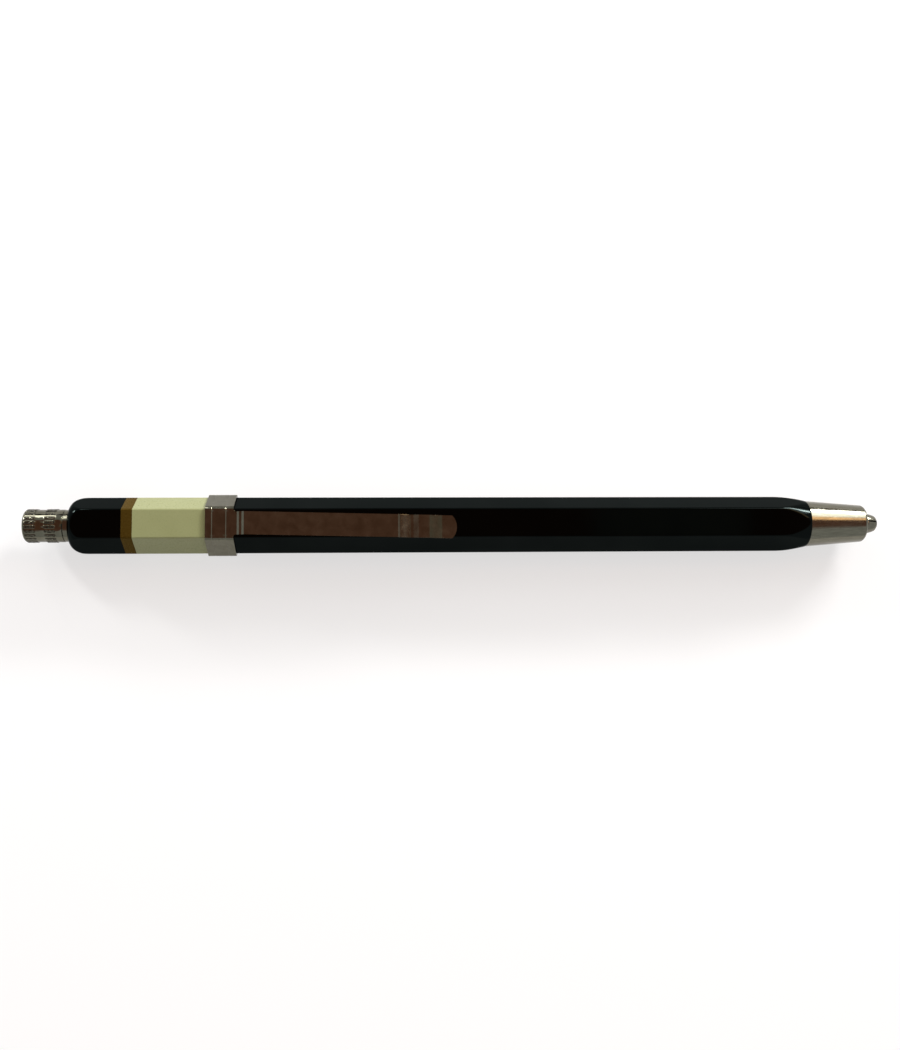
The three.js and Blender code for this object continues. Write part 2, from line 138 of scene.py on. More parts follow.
# Knob, pusher and pointer
KNOB_RADIUS = 2.63 * mm
KNOB_HEAD = 6.35 * mm
KNOB_END_EDGE = 0.5 * mm
KNOB_SHOULDER_EDGE = 0.08 * mm
KNOB_BORE_START = 3.3 * mm
KNOB_BORE = 1.75 * mm
NECK_LENGTH = 1.05 * mm
NECK_RADIUS = 2.1 * mm
NECK_RUN_OUT = 0.08 * mm
THREAD_LENGTH = 2.6 * mm
THREAD_RADIUS = 2.28 * mm
THREAD_DEPTH = 0.24 * mm
THREAD_PITCH = 0.5 * mm
THREAD_CHAMFER = 0.3 * mm
THREAD_RUN_IN = 0.3 * mm
THREAD_SHAPE = 0.8
THREAD_STEPS = 96
STUB_FRONT_EDGE = 0.02 * mm
STUB_MOUTH_EDGE = 0.06 * mm
PAD_COUNT = 22
PAD_SIDES = 26
PAD_STEPS = 56
PAD_HEIGHT = 0.085 * mm
PAD_WIDTH = 0.56 * mm
PAD_LENGTH = 1.85 * mm
PAD_EDGE = 0.08 * mm
PAD_STARTS = (0.37 * mm, 3.47 * mm)
PAD_CRINKLE = 0.06 * mm
CRINKLE_SIZE = 0.15 * mm
CRINKLE_RANGE = (-1.4, 0)
CRINKLE_DROP = 0.35
# Near-black for painted shade, with some dirt, round the flanks of the knurl pads
PAD_SHADE_AND_GRIME = (0.012, 0.009, 0.006, 1)
KNOB_POLISH = (0.06, 0.11)
PUSHER_RADIUS = 2.59 * mm
PUSHER_BORE = 2.33 * mm
PUSHER_EDGES = (0.03 * mm, 0.06 * mm, 0.04 * mm)
POINTER_SHEET = 0.18 * mm
POINTER_SLEEVE = (1.35 * mm, 1.7 * mm)
SLEEVE_EDGES = (0.03 * mm, 0.05 * mm, 0.03 * mm)
BLADE_COUNT = 4
BLADE_HALF_ANGLE = math.radians(52)
BLADE_ROOT_APEX = 1.66 * mm
BLADE_TIP_APEX = 2.1 * mm
BLADE_ROOT_WING = 1.05 * mm
BLADE_TIP_WING = 0.5 * mm
BLADE_OVERLAP = 0.8 * mm
BLADE_SLIT_START = 0.5 * mm
BLADE_TIP_ROUND = 0.35 * mm
BLADE_SPREAD_START = 0.3 * mm
BLADE_RIDGE = 0.06 * mm
BLADE_EDGE = 0.03 * mm
BLADE_STEPS = 14
WING_STEPS = 9

# Clip. Each stretch of its end is a length in mm and two end heights, as shares of the lift.
CLIP_SHEET = 0.38 * mm
BAND_LENGTH = 4.5 * mm
BAND_ROUNDING = 0.8 * mm
CLIP_WIDTH = 3.68 * mm
CLIP_FILLET = 0.35 * mm
CLIP_BEND = (0.45 * mm, 0.5 * mm, 0.28 * mm, 0.5 * mm)
CLIP_BEND_LIFT = 0.21 * mm
CLIP_LIFT = 0.5 * mm
CLIP_END = (
    (24.4, 1, 1), (0.16, 1, 0.9), (0.1, 0.9, 1), (1.7, 1, 0), (0.45, 0, 0), (1.0, 0, 0.7),
    (1.6, 0.7, 0.7), (2.1, 0.7, 0), (0.8, 0, 0), (2.0, 0, 0.1),
)
CLIP_SWEEP = math.tan(math.radians(1.25))
CLIP_SAGITTA = 0.75 * mm
CLIP_SHORT = 0.2 * mm
CLIP_EDGE = 0.09 * mm
CLIP_LEAST_STEP = 0.05 * mm
CLIP_TIP_TURN = math.radians(82)
BAND_LINES = (1.07 * mm, 3.3 * mm)
LINE_WIDTH = 0.12 * mm
LINE_DEPTH = 0.035 * mm
LINE_PROFILE = ((-0.5, 0), (-0.2, 0.7), (0, 1), (0.2, 0.7), (0.5, 0))

# Spring
SPRING_TURNS = 11
SPRING_WIRE = 0.25 * mm
SPRING_END_GAP = 0.45 * mm
SPRING_STEPS = 40
WIRE_SIDES = 14

AXIS = (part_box("barrel")[0].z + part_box("barrel")[1].z) / 2
FLATS = 8 * mm
ROUND_STEPS = 192


def span(node):
    """The rear and the front end of a CAD node along X."""
    low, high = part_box(node)
    return low.x, high.x


# Mesh helpers

def ring(x, radius, angles):
    """Points round the holder's axis. The place and the radius may vary round the ring."""
    return np.stack([np.broadcast_to(x, angles.shape), radius * np.cos(angles),
                     AXIS + radius * np.sin(angles)], axis=1)


def round_angles(count=ROUND_STEPS):
    return np.arange(count) * 2 * math.pi / count


def make(name, points, faces, sheet=0.0, edge=0.0, sharp=32):
    """One object from points and faces, thickened inwards and with its edges eased if asked."""
    mesh = bpy.data.meshes.new(name)
    mesh.from_pydata([tuple(p) for p in points], [], faces)
    bm = bmesh.new()
    bm.from_mesh(mesh)
    bmesh.ops.remove_doubles(bm, verts=bm.verts, dist=1e-8)
    if not sheet:
        bmesh.ops.recalc_face_normals(bm, faces=bm.faces)
    bm.to_mesh(mesh)
    bm.free()
    mesh.shade_smooth()
    piece = bpy.data.objects.new(name, mesh)
    bpy.context.scene.collection.objects.link(piece)
    if sheet:
        wall = piece.modifiers.new("sheet", "SOLIDIFY")
        wall.thickness = sheet
        wall.offset = -1
        wall.use_even_offset = True
    if edge:
        bevel = piece.modifiers.new("edge", "BEVEL")
        bevel.width = edge
        bevel.segments = 3
        bevel.limit_method = "ANGLE"
        bevel.angle_limit = math.radians(50)
    settle(piece)
    piece.data.set_sharp_from_angle(angle=math.radians(sharp))
    weigh = piece.modifiers.new("normals", "WEIGHTED_NORMAL")
    weigh.keep_sharp = True
    settle(piece)
    return piece


def settle(piece):
    """Applies the modifiers of a piece to its mesh."""
    view = bpy.context.evaluated_depsgraph_get()
    view.update()
    mesh = bpy.data.meshes.new_from_object(piece.evaluated_get(view))
    old = piece.data
    piece.modifiers.clear()
    piece.data = mesh
    mesh.name = piece.name
    bpy.data.meshes.remove(old)


def quads(rows, count, closed_rows=False, start=0):
    """Faces between rows of points, each of which closes on itself."""
    faces = []
    for r in range(rows if closed_rows else rows - 1):
        a = start + r * count
        b = start + (r + 1) % rows * count
        faces += [(a + i, a + (i + 1) % count, b + (i + 1) % count, b + i) for i in range(count)]
    return faces


def skin(name, rings, closed=True, **options):
    """A solid through rings. A closed one runs back to its first ring, as a tube's wall does."""
    count = len(rings[0])
    faces = quads(len(rings), count, closed)
    return make(name, np.concatenate(rings), faces, **options)


def eased(corners, steps=4):
    """A closed outline of (x, radius, reach) corners, each rounded over its reach."""
    outline = []
    for i, (x, radius, reach) in enumerate(corners):
        corner = np.array((x, radius))
        if reach == 0:
            outline.append(corner)
            continue
        before = np.array(corners[i - 1][:2]) - corner
        after = np.array(corners[(i + 1) % len(corners)][:2]) - corner
        first = corner + before / np.linalg.norm(before) * reach
        last = corner + after / np.linalg.norm(after) * reach
        for t in np.linspace(0, 1, steps + 1):
            outline.append((1 - t) ** 2 * first + 2 * t * (1 - t) * corner + t ** 2 * last)
    return outline


def turned(name, corners, count=ROUND_STEPS, **options):
    angles = round_angles(count)
    return skin(name, [ring(x, radius, angles) for x, radius in eased(corners)], **options)


def quarter(x, radius, reach_x, reach_radius, steps=20):
    """A quarter ellipse from a flat end round to the side, as corners without rounding."""
    return [(x + reach_x * math.cos(t), radius + reach_radius * math.sin(t), 0)
            for t in np.linspace(0, math.pi / 2, steps + 1)]


def corner_circle(flats, rounding):
    """How far the centre of a rounded corner is from the axis, and where its arc ends."""
    distance = (flats / 2 - rounding) / math.cos(math.pi / 6)
    end = math.atan2(rounding / 2, distance + rounding * math.cos(math.pi / 6))
    return distance, end


def hex_angles(flats, rounding, corner_steps=CORNER_STEPS, flat_steps=FLAT_STEPS):
    """Angles that are close together round each corner and even along each flat."""
    distance, end = corner_circle(flats, rounding)
    turns = np.linspace(-math.pi / 6, math.pi / 6, corner_steps + 1)
    arc = np.arctan2(rounding * np.sin(turns), distance + rounding * np.cos(turns))
    half = math.tan(math.pi / 6 - end)
    flat = math.pi / 6 - np.arctan(np.linspace(half, -half, flat_steps + 1)[1:-1])
    side = np.concatenate([arc, flat])
    return np.concatenate([side + k * math.pi / 3 for k in range(6)])


def hex_radius(angles, flats, rounding):
    """The reach of a hexagon with rounded corners and two level flats."""
    distance, end = corner_circle(flats, rounding)
    turn = np.abs((angles + math.pi / 6) % (math.pi / 3) - math.pi / 6)
    flat = flats / 2 / np.cos(math.pi / 6 - turn)
    beyond = rounding ** 2 - (distance * np.sin(turn)) ** 2
    arc = distance * np.cos(turn) + np.sqrt(np.maximum(beyond, 0))
    return np.where(turn < end, arc, flat)


def soft_least(a, b, blend):
    """The lesser of two reaches, with the crease between them rounded."""
    share = np.maximum(blend - np.abs(a - b), 0) / blend
    return np.minimum(a, b) - share ** 2 * blend / 4


def ease(share):
    return (1 - math.cos(math.pi * share)) / 2


def smooth(value, low, high):
    share = np.clip((value - low) / (high - low), 0, 1)
    return share * share * (3 - 2 * share)


# Node materials

def calculate(tree, operation, *values):
    """A math node with links or plain numbers at its inputs."""
    node = tree.nodes.new("ShaderNodeMath")
    node.operation = operation
    for socket, value in zip(node.inputs, values):
        if isinstance(value, bpy.types.NodeSocket):
            tree.links.new(value, socket)
        else:
            socket.default_value = value
    return node.outputs[0]


class Nodes:
    """A short way to write the nodes of one material."""

    def __init__(self, name):
        self.material = bpy.data.materials.new(name)
        self.material.use_nodes = True
        self.tree = self.material.node_tree
        self.shader = self.tree.nodes["Principled BSDF"]
        self.place = self.tree.nodes.new("ShaderNodeTexCoord").outputs["Object"]

    def link(self, value, socket):
        if isinstance(value, bpy.types.NodeSocket):
            self.tree.links.new(value, socket)
        else:
            socket.default_value = value

    def stretched(self, scale):
        node = self.tree.nodes.new("ShaderNodeMapping")
        self.link(self.place, node.inputs["Vector"])
        node.inputs["Scale"].default_value = scale
        return node.outputs["Vector"]

    def noise(self, size, scale=(1, 1, 1), detail=3, distortion=0.0):
        """Noise with features of about that size, stretched where the scale is less than 1."""
        node = self.tree.nodes.new("ShaderNodeTexNoise")
        self.link(self.stretched(scale), node.inputs["Vector"])
        node.inputs["Scale"].default_value = 1 / size
        node.inputs["Detail"].default_value = detail
        node.inputs["Distortion"].default_value = distortion
        return node.outputs[0]

    def off_axis(self, radius):
        """How far a point is from a cylinder of that radius round the holder's axis."""
        move = self.tree.nodes.new("ShaderNodeMapping")
        self.link(self.place, move.inputs["Vector"])
        move.inputs["Location"].default_value = (0, 0, -AXIS)
        move.inputs["Scale"].default_value = (0, 1, 1)
        reach = self.tree.nodes.new("ShaderNodeVectorMath")
        reach.operation = "LENGTH"
        self.link(move.outputs["Vector"], reach.inputs[0])
        step = calculate(self.tree, "SUBTRACT", reach.outputs["Value"], radius)
        return calculate(self.tree, "ABSOLUTE", step)

    def spread(self, value, low, high, to_low, to_high):
        node = self.tree.nodes.new("ShaderNodeMapRange")
        for socket, number in zip(node.inputs, (value, low, high, to_low, to_high)):
            self.link(number, socket)
        return node.outputs[0]

    def blend(self, share, first, second):
        node = self.tree.nodes.new("ShaderNodeMix")
        node.data_type = "RGBA"
        self.link(share, node.inputs[0])
        self.link(first, node.inputs[6])
        self.link(second, node.inputs[7])
        return node.outputs[2]

    def bump(self, height, depth, strength, normal=None):
        node = self.tree.nodes.new("ShaderNodeBump")
        node.inputs["Distance"].default_value = depth
        node.inputs["Strength"].default_value = strength
        self.link(height, node.inputs["Height"])
        if normal is not None:
            self.link(normal, node.inputs["Normal"])
        return node.outputs["Normal"]

    def put(self, **sockets):
        for name, value in sockets.items():
            self.link(value, self.shader.inputs[name.replace("_", " ")])


def black_lacquer():
    """Polished black lacquer: fine orange peel, handling haze and a few hairline scratches."""
    n = Nodes("black_lacquer")
    haze = n.noise(9 * mm, detail=4)
    hairs = n.noise(0.35 * mm, scale=(0.05, 1, 1), detail=2)
    rough = n.spread(haze, 0.35, 0.7, 0.06, 0.11)
    color = n.blend(n.spread(haze, 0.4, 0.7, 0, 1),
                    (0.0045, 0.0058, 0.0055, 1), (0.006, 0.0076, 0.0072, 1))
    peel = n.bump(n.noise(1.3 * mm, detail=2), 0.004 * mm, 0.35)
    scratches = n.bump(n.spread(hairs, 0.62, 0.72, 0, 1), 0.002 * mm, 0.25, peel)
    n.put(Base_Color=color, Roughness=rough, Normal=scratches, Metallic=1.0,
          Specular_Tint=(0.54, 0.55, 0.55, 1))
    return n.material


def gold_lacquer():
    """Old gold lacquer: fine metal flakes under a satin surface."""
    n = Nodes("gold_lacquer")
    flakes = n.noise(0.09 * mm, detail=2)
    patches = n.noise(2 * mm, detail=3)
    base = n.blend(patches, (0.049, 0.0285, 0.0038, 1), (0.057, 0.034, 0.0052, 1))
    color = n.blend(n.spread(flakes, 0.45, 0.75, 0, 0.4), base, (0.09, 0.058, 0.014, 1))
    n.put(Base_Color=color, Metallic=0.3, Roughness=n.spread(flakes, 0.3, 0.7, 0.2, 0.34), IOR=1.1,
          Specular_Tint=(0.8, 0.66, 0.3, 1), Normal=n.bump(flakes, 0.004 * mm, 0.4))
    return n.material


def ivory_lacquer():
    """Pale ivory lacquer: a soft sheen, faint yellowing and a slight surface grain."""
    n = Nodes("ivory_lacquer")
    patches = n.noise(3.5 * mm, detail=3)
    grain = n.noise(0.22 * mm, detail=3)
    base = n.blend(patches, (0.212, 0.226, 0.105, 1), (0.24, 0.256, 0.125, 1))
    color = n.blend(n.spread(grain, 0.5, 0.75, 0, 0.35), base, (0.2, 0.2, 0.085, 1))
    n.put(Base_Color=color, Roughness=n.spread(grain, 0.3, 0.7, 0.24, 0.36), IOR=1.32,
          Normal=n.bump(grain, 0.006 * mm, 0.35))
    return n.material


def nickel(name="nickel", shade_and_grime_radius=0.0):
    """Nickel plate dulled in patches, with fine scratches and painted crevice shade with dirt at
    one radius.
    """
    n = Nodes(name)
    patches = n.noise(1.6 * mm, detail=5, distortion=0.4)
    hairs = n.noise(0.12 * mm, scale=(0.08, 1, 1), detail=3)
    specks = n.noise(0.3 * mm, detail=2)
    base = n.blend(n.spread(patches, 0.3, 0.7, 0, 1),
                   (0.112, 0.107, 0.078, 1), (0.15, 0.145, 0.11, 1))
    color = n.blend(n.spread(specks, 0.62, 0.74, 0, 0.5), base, (0.085, 0.065, 0.045, 1))
    if shade_and_grime_radius:
        # Painted shade with some dirt: darker within a band round the given radius, half way up the
        # pads
        color = n.blend(n.spread(n.off_axis(shade_and_grime_radius), 0.012 * mm, 0.035 * mm, 0.9, 0), color, PAD_SHADE_AND_GRIME)
    rough = n.spread(patches, 0.3, 0.75, *(KNOB_POLISH if shade_and_grime_radius else (0.13, 0.24)))
    fine = n.bump(hairs, 0.003 * mm, 0.35)
    n.put(Base_Color=color, Metallic=1.0, Roughness=rough,
          Normal=n.bump(patches, 0.01 * mm, 0.12, fine))
    return n.material


def satin_nickel():
    """Turned nickel plate, drawn lengthwise, so that reflections break into fine streaks."""
    n = Nodes("satin_nickel")
    streaks = n.noise(0.16 * mm, scale=(0.045, 1, 1), detail=4)
    patches = n.noise(1.2 * mm, detail=4)
    pits = n.noise(0.28 * mm, detail=1)
    base = n.blend(n.spread(streaks, 0.35, 0.65, 0, 1),
                   (0.13, 0.124, 0.094, 1), (0.175, 0.168, 0.13, 1))
    color = n.blend(n.spread(pits, 0.7, 0.78, 0, 0.7), base, (0.06, 0.045, 0.03, 1))
    rough = n.spread(patches, 0.3, 0.7, 0.13, 0.21)
    n.put(Base_Color=color, Metallic=1.0, Roughness=rough, Normal=n.bump(streaks, 0.004 * mm, 0.5))
    return n.material


def turned_metal(name, dark, light, roughness):
    """Bare turned metal: fine rings round the axis and a little tarnish."""
    n = Nodes(name)
    rings = n.noise(0.09 * mm, scale=(1, 0.03, 0.03), detail=2)
    tarnish = n.noise(1.5 * mm, detail=4)
    color = n.blend(n.spread(tarnish, 0.3, 0.7, 0, 1), (*dark, 1), (*light, 1))
    n.put(Base_Color=color, Metallic=1.0,
          Roughness=n.spread(rings, 0.3, 0.7, roughness - 0.06, roughness + 0.06),
          Normal=n.bump(rings, 0.003 * mm, 0.4))
    return n.material


def graphite():
    """Graphite: a fine dark grain with a dull metallic sheen."""
    n = Nodes("graphite")
    grain = n.noise(0.05 * mm, detail=3)
    color = n.blend(grain, (0.006, 0.006, 0.007, 1), (0.018, 0.018, 0.02, 1))
    n.put(Base_Color=color, Metallic=0.2, IOR=1.3, Roughness=n.spread(grain, 0.3, 0.7, 0.4, 0.62),
          Normal=n.bump(grain, 0.004 * mm, 0.5))
    return n.material


FINISHES = {
    "black_lacquer": black_lacquer(),
    "gold_lacquer": gold_lacquer(),
    "ivory_lacquer": ivory_lacquer(),
    "nickel": nickel(),
    "satin_nickel": satin_nickel(),
    "brass": turned_metal("brass", (0.36, 0.23, 0.075), (0.52, 0.36, 0.14), 0.3),
    "spring_steel": turned_metal("spring_steel", (0.24, 0.24, 0.24), (0.36, 0.36, 0.36), 0.26),
    "graphite": graphite(),
}


def dress(piece, slot, body, *nodes):
    """Gives a piece its finish and its body, and hides the CAD nodes that it stands for."""
    piece.data.materials.clear()
    piece.data.materials.append(FINISHES[slot])
    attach(piece, body)
    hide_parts(*nodes)
    return piece


def finish_of(node):
    """The material slot that the record gives to a node."""
    return next(row["material_slot"] for row in frame["record"]["subparts"] if row["node"] == node)


# Body sections

def hex_section(name, rear, front, bore, outer):
    """A section with a hexagonal outside. The outside is a list of (x, reach round the ring)."""
    angles = hex_angles(FLATS, CORNER_ROUNDING)
    inner = [(front, bore), (rear, bore)]
    rings = [ring(x, reach, angles) for x, reach in outer + inner]
    return skin(name, rings)


def plain_outside(rear, front):
    """Stations of a straight section, with its two end edges eased."""
    reach = hex_radius(hex_angles(FLATS, CORNER_ROUNDING), FLATS, CORNER_ROUNDING)
    rows = [(rear + a * SECTION_EDGE, reach - b * SECTION_EDGE) for a, b in EDGE_PROFILE]
    return rows + [(front - a * SECTION_EDGE, reach - b * SECTION_EDGE)
                   for a, b in reversed(EDGE_PROFILE)]


def end_cap():
    rear, front = span("end_cap")
    angles = hex_angles(FLATS, CORNER_ROUNDING)
    reach = hex_radius(angles, FLATS, CORNER_ROUNDING)
    dome = quarter(rear + CAP_DOME, CAP_BORE + CAP_RIM, -CAP_DOME,
                   FLATS / math.sqrt(3) - CAP_BORE - CAP_RIM, steps=DOME_STEPS)
    outer = [(rear + CAP_MOUTH_EDGE, CAP_BORE),
             (rear + CAP_MOUTH_EDGE / 4, CAP_BORE + CAP_MOUTH_EDGE / 4)]
    outer += [(x, soft_least(reach, radius, TAPER_BLEND)) for x, radius, _ in dome]
    outer += plain_outside(rear, front)[len(EDGE_PROFILE):]
    return hex_section("end_cap_shell", rear + CAP_MOUTH_EDGE, front, CAP_BORE, outer)


def barrel():
    rear, front = span("barrel")
    reach = hex_radius(hex_angles(FLATS, CORNER_ROUNDING), FLATS, CORNER_ROUNDING)
    corner = FLATS / math.sqrt(3)
    outer = plain_outside(rear, front)[:len(EDGE_PROFILE)]
    for share in np.linspace(0, 1, TAPER_STEPS):
        radius = corner - (corner - TAPER_FRONT_RADIUS) * share ** TAPER_POWER
        x = front - TAPER_LENGTH * (1 - share)
        outer.append((min(x, front - SECTION_EDGE), soft_least(reach, radius, TAPER_BLEND)))
    outer.append((front, TAPER_FRONT_RADIUS - SECTION_EDGE))
    return hex_section("barrel_shell", rear, front, BODY_BORE, outer)


def body_sections():
    dress(end_cap(), "black_lacquer", "holder", "end_cap")
    dress(barrel(), "black_lacquer", "holder", "barrel")
    for node, slot in (("trim_ring", "gold_lacquer"), ("ivory_sleeve", "ivory_lacquer")):
        rear, front = span(node)
        piece = hex_section(node + "_shell", rear, front, BODY_BORE, plain_outside(rear, front))
        dress(piece, slot, "holder", node)


# Nose, jaws and lead

def nose():
    spigot_rear, front = span("nose_cone")
    rear = spigot_rear + NOSE_SPIGOT
    seat = front - NOSE_SEAT
    corners = [
        (spigot_rear, NOSE_BORE, 0), (spigot_rear, NOSE_SPIGOT_RADIUS, 0),
        (rear, NOSE_SPIGOT_RADIUS, 0), (rear, NOSE_REAR_RADIUS, NOSE_SHOULDER_EDGE),
        (front, NOSE_FRONT_RADIUS, NOSE_EDGE), (front, NOSE_MOUTH_RADIUS, NOSE_MOUTH_EDGE),
        (seat, NOSE_SEAT_RADIUS, 0), (seat - NOSE_SEAT_TAPER, NOSE_BORE, 0),
    ]
    return dress(turned("nose_shell", corners, count=288), "satin_nickel", "holder", "nose_cone")


def jaw(index):
    """A third of the split collet, with half a slit's width left off at either side."""
    rear, tip = span(f"jaw_{index + 1}")
    mouth = tip - JAW_SHOWN
    seat = mouth - NOSE_SEAT
    lip = JAW_BORE + JAW_LIP
    point = [(tip - JAW_TIP * s, lip + (JAW_HEAD_RADIUS - lip) * s ** JAW_TIP_POWER)
             for s in np.linspace(1, 0, JAW_TIP_STEPS) ** JAW_TIP_SPACING]
    grip = tip - JAW_GRIP
    outside = [(rear, JAW_SHANK_RADIUS), (seat - NOSE_SEAT_TAPER, JAW_SHANK_RADIUS),
               (seat, JAW_THROAT_RADIUS), (mouth, JAW_HEAD_RADIUS)]
    outside += point + [(grip, JAW_SHANK_RADIUS), (grip + JAW_GRIP_FLARE, JAW_SHANK_RADIUS)]
    middle = JAW_PHASE + index * 2 * math.pi / JAW_COUNT

    def bore_at(x):
        return JAW_BORE if x >= grip else JAW_TUBE_BORE

    rings = []
    for x, radius in sorted(outside):
        sides = []
        for reach in (radius, min(bore_at(x), radius - JAW_LEAST_WALL)):
            half = math.pi / JAW_COUNT - math.asin(JAW_SLIT / 2 / reach)
            sides.append(ring(x, reach, middle + np.linspace(-half, half, JAW_SIDES)))
        rings.append(np.concatenate([sides[0], sides[1][::-1]]))
    count = 2 * JAW_SIDES
    last = (len(rings) - 1) * count
    faces = quads(len(rings), count)
    faces += [tuple(reversed(range(count))), tuple(range(last, last + count))]
    name = f"jaw_{index + 1}"
    piece = make(name + "_shell", np.concatenate(rings), faces, edge=JAW_EDGE)
    return dress(piece, "satin_nickel", name, name)


def lead():
    rear, front = span("lead")
    worn = quarter(front - LEAD_POINT, LEAD_POINT_RADIUS,
                   LEAD_POINT, LEAD_RADIUS - LEAD_POINT_RADIUS)
    corners = [(rear, 0, 0), (rear, LEAD_RADIUS, LEAD_END_EDGE), *reversed(worn), (front, 0, 0)]
    piece = turned("lead_stick", corners, count=96)
    return dress(piece, "graphite", "lead", "lead")


# Knob

def crinkle(x, angle):
    """A small pit or lump of the rolled pads, from about -1 to 1."""
    place = Vector((x, KNOB_RADIUS * math.cos(angle), KNOB_RADIUS * math.sin(angle))) / CRINKLE_SIZE
    return noise.noise(place) + 0.5 * noise.noise(place * 2.1)


def pad_height(x, angles):
    """How far the knurl stands out at a station, round the ring."""
    pitch = 2 * math.pi / PAD_COUNT
    across = np.abs((angles + pitch / 2) % pitch - pitch / 2) * KNOB_RADIUS
    height = np.zeros_like(angles)
    for start in PAD_STARTS:
        middle = start + PAD_LENGTH / 2
        overhang = max(abs(x - middle) - (PAD_LENGTH - PAD_WIDTH) / 2, 0)
        distance = np.hypot(across, overhang)
        share = 1 - smooth(distance, PAD_WIDTH / 2 - PAD_EDGE, PAD_WIDTH / 2)
        if not share.any():
            continue
        lumps = np.array([crinkle(x, a) if s else 0 for a, s in zip(angles, share)])
        height += share * (PAD_HEIGHT + PAD_CRINKLE * np.clip(lumps - CRINKLE_DROP, *CRINKLE_RANGE))
    return height


def knob_head():
    rear = span("knob")[0]
    front = rear + KNOB_HEAD
    angles = round_angles(PAD_COUNT * PAD_SIDES)
    end = quarter(rear + KNOB_END_EDGE, KNOB_RADIUS - KNOB_END_EDGE,
                  -KNOB_END_EDGE, KNOB_END_EDGE, steps=10)
    fine = []
    for start in PAD_STARTS:
        fine += list(rear + np.linspace(start, start + PAD_LENGTH, PAD_STEPS))
    shoulder = [(front - KNOB_SHOULDER_EDGE, KNOB_RADIUS),
                (front - KNOB_SHOULDER_EDGE / 2, KNOB_RADIUS - KNOB_SHOULDER_EDGE / 2),
                (front, KNOB_RADIUS - KNOB_SHOULDER_EDGE), (front, KNOB_BORE)]
    bore = rear + KNOB_BORE_START
    rows = [ring(rear, 0, angles)] + [ring(x, radius, angles) for x, radius, _ in end]
    rows += [ring(x, KNOB_RADIUS + pad_height(x - rear, angles), angles) for x in fine]
    rows += [ring(x, radius, angles) for x, radius in shoulder + [(bore, KNOB_BORE), (bore, 0)]]
    piece = skin("knob_head", rows, closed=False, sharp=60)
    dress(piece, "nickel", "knob", "knob")
    # The knob's nickel gets painted shade, with some dirt, round the flanks of its pads
    piece.data.materials[0] = nickel("knurled_nickel", KNOB_RADIUS + PAD_HEIGHT / 2)


def thread_radius(x, start, front, angles):
    """The radius of a rounded thread that runs out at both ends."""
    phase = (x - start) / THREAD_PITCH - angles / (2 * math.pi)
    crest = (0.5 + 0.5 * np.cos(2 * math.pi * phase)) ** THREAD_SHAPE
    grown = smooth(x, start, start + THREAD_RUN_IN)
    radius = THREAD_RADIUS - THREAD_DEPTH + THREAD_DEPTH * crest * grown
    chamfer = THREAD_RADIUS - max(x - (front - THREAD_CHAMFER), 0)
    return np.minimum(radius, chamfer)


def knob_stub():
    """The relieved neck and the threaded stub that screws into the pusher."""
    rear = span("knob")[0] + KNOB_HEAD
    start = rear + NECK_LENGTH
    front = start + THREAD_LENGTH
    angles = round_angles()
    rows = [ring(rear, KNOB_BORE, angles), ring(rear, NECK_RADIUS, angles)]
    rows.append(ring(start - NECK_RUN_OUT, NECK_RADIUS, angles))
    rows += [ring(x, thread_radius(x, start, front, angles), angles)
             for x in np.linspace(start, front - STUB_FRONT_EDGE, THREAD_STEPS)]
    rows += [ring(front, THREAD_RADIUS - THREAD_CHAMFER - STUB_FRONT_EDGE, angles),
             ring(front, KNOB_BORE + STUB_MOUTH_EDGE, angles),
             ring(front - STUB_MOUTH_EDGE, KNOB_BORE, angles)]
    return dress(skin("knob_stub", rows, sharp=60), "nickel", "knob", "knob")


def pusher():
    rear, front = span("pusher_tube")
    corners = [(rear, PUSHER_BORE, PUSHER_EDGES[0]), (rear, PUSHER_RADIUS, PUSHER_EDGES[1]),
               (front, PUSHER_RADIUS, PUSHER_EDGES[2]), (front, PUSHER_BORE, 0)]
    return dress(turned("pusher_shell", corners), "nickel", "mechanism", "pusher_tube")


